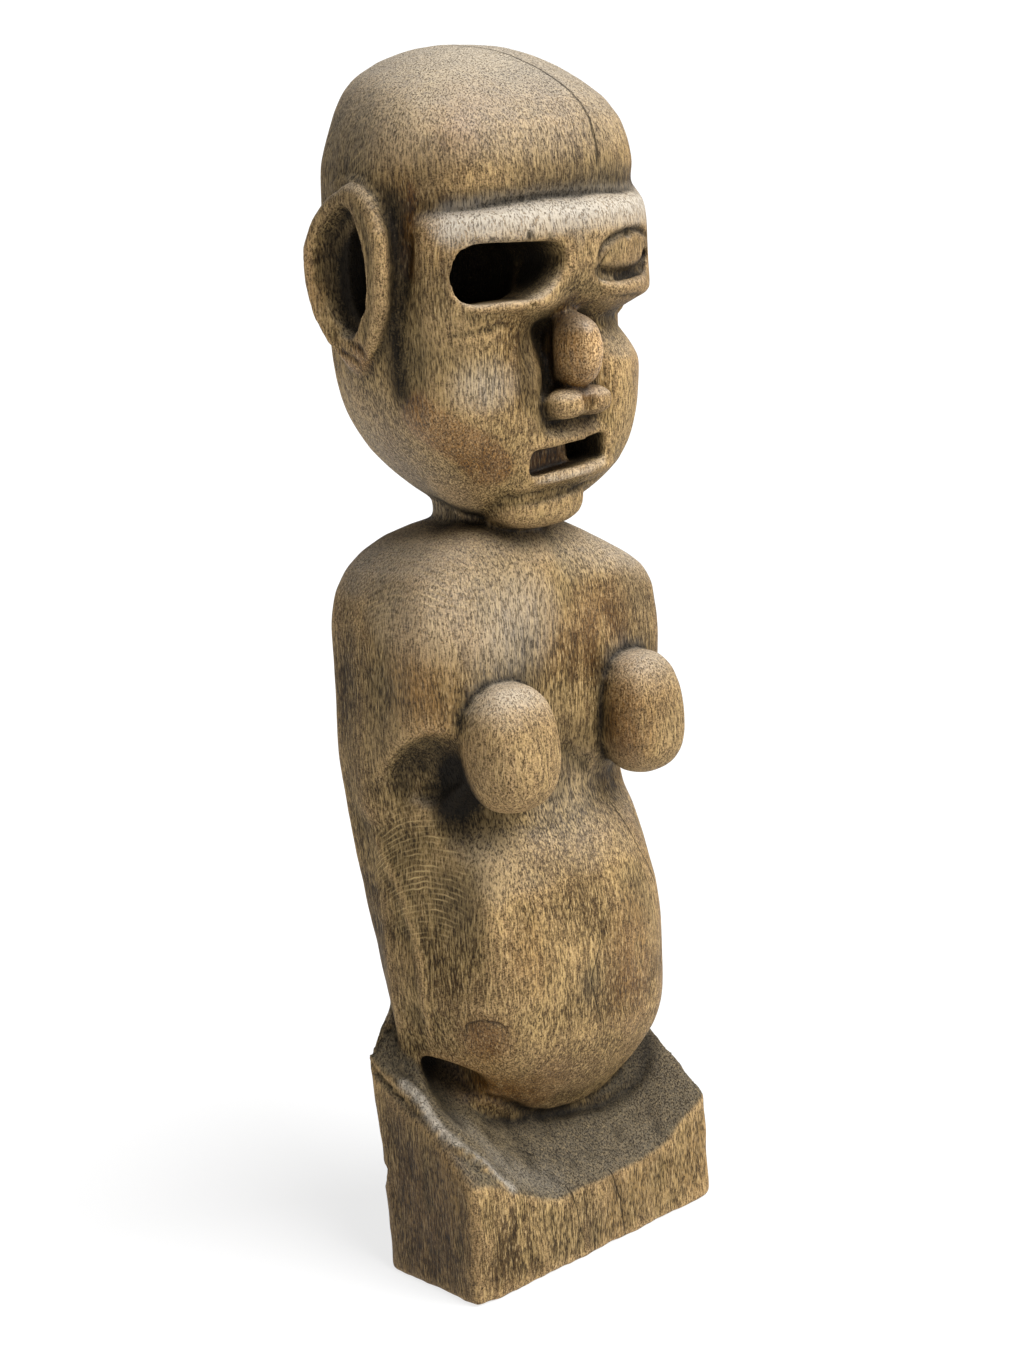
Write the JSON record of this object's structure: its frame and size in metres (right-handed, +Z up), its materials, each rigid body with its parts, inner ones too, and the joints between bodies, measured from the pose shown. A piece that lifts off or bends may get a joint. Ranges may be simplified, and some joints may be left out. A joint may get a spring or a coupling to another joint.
{
  "type": "female figure carving",
  "caption": "Standing female figure carved from one log, with cup ears, one hollow eye, egg breasts, a long belly and a scooped base block.",
  "frame": {"origin": "middle of the base block's underside", "axes": "+X is the figure's own left, -Y is the way the figure faces, +Z is up"},
  "size_m": [0.1314, 0.0991, 0.45],
  "materials": {
    "carved_wood": "weathered, hand-polished dark hardwood with open grain"
  },
  "bodies": {
    "root": {"figure": "carved_wood"}
  },
  "joints": []
}
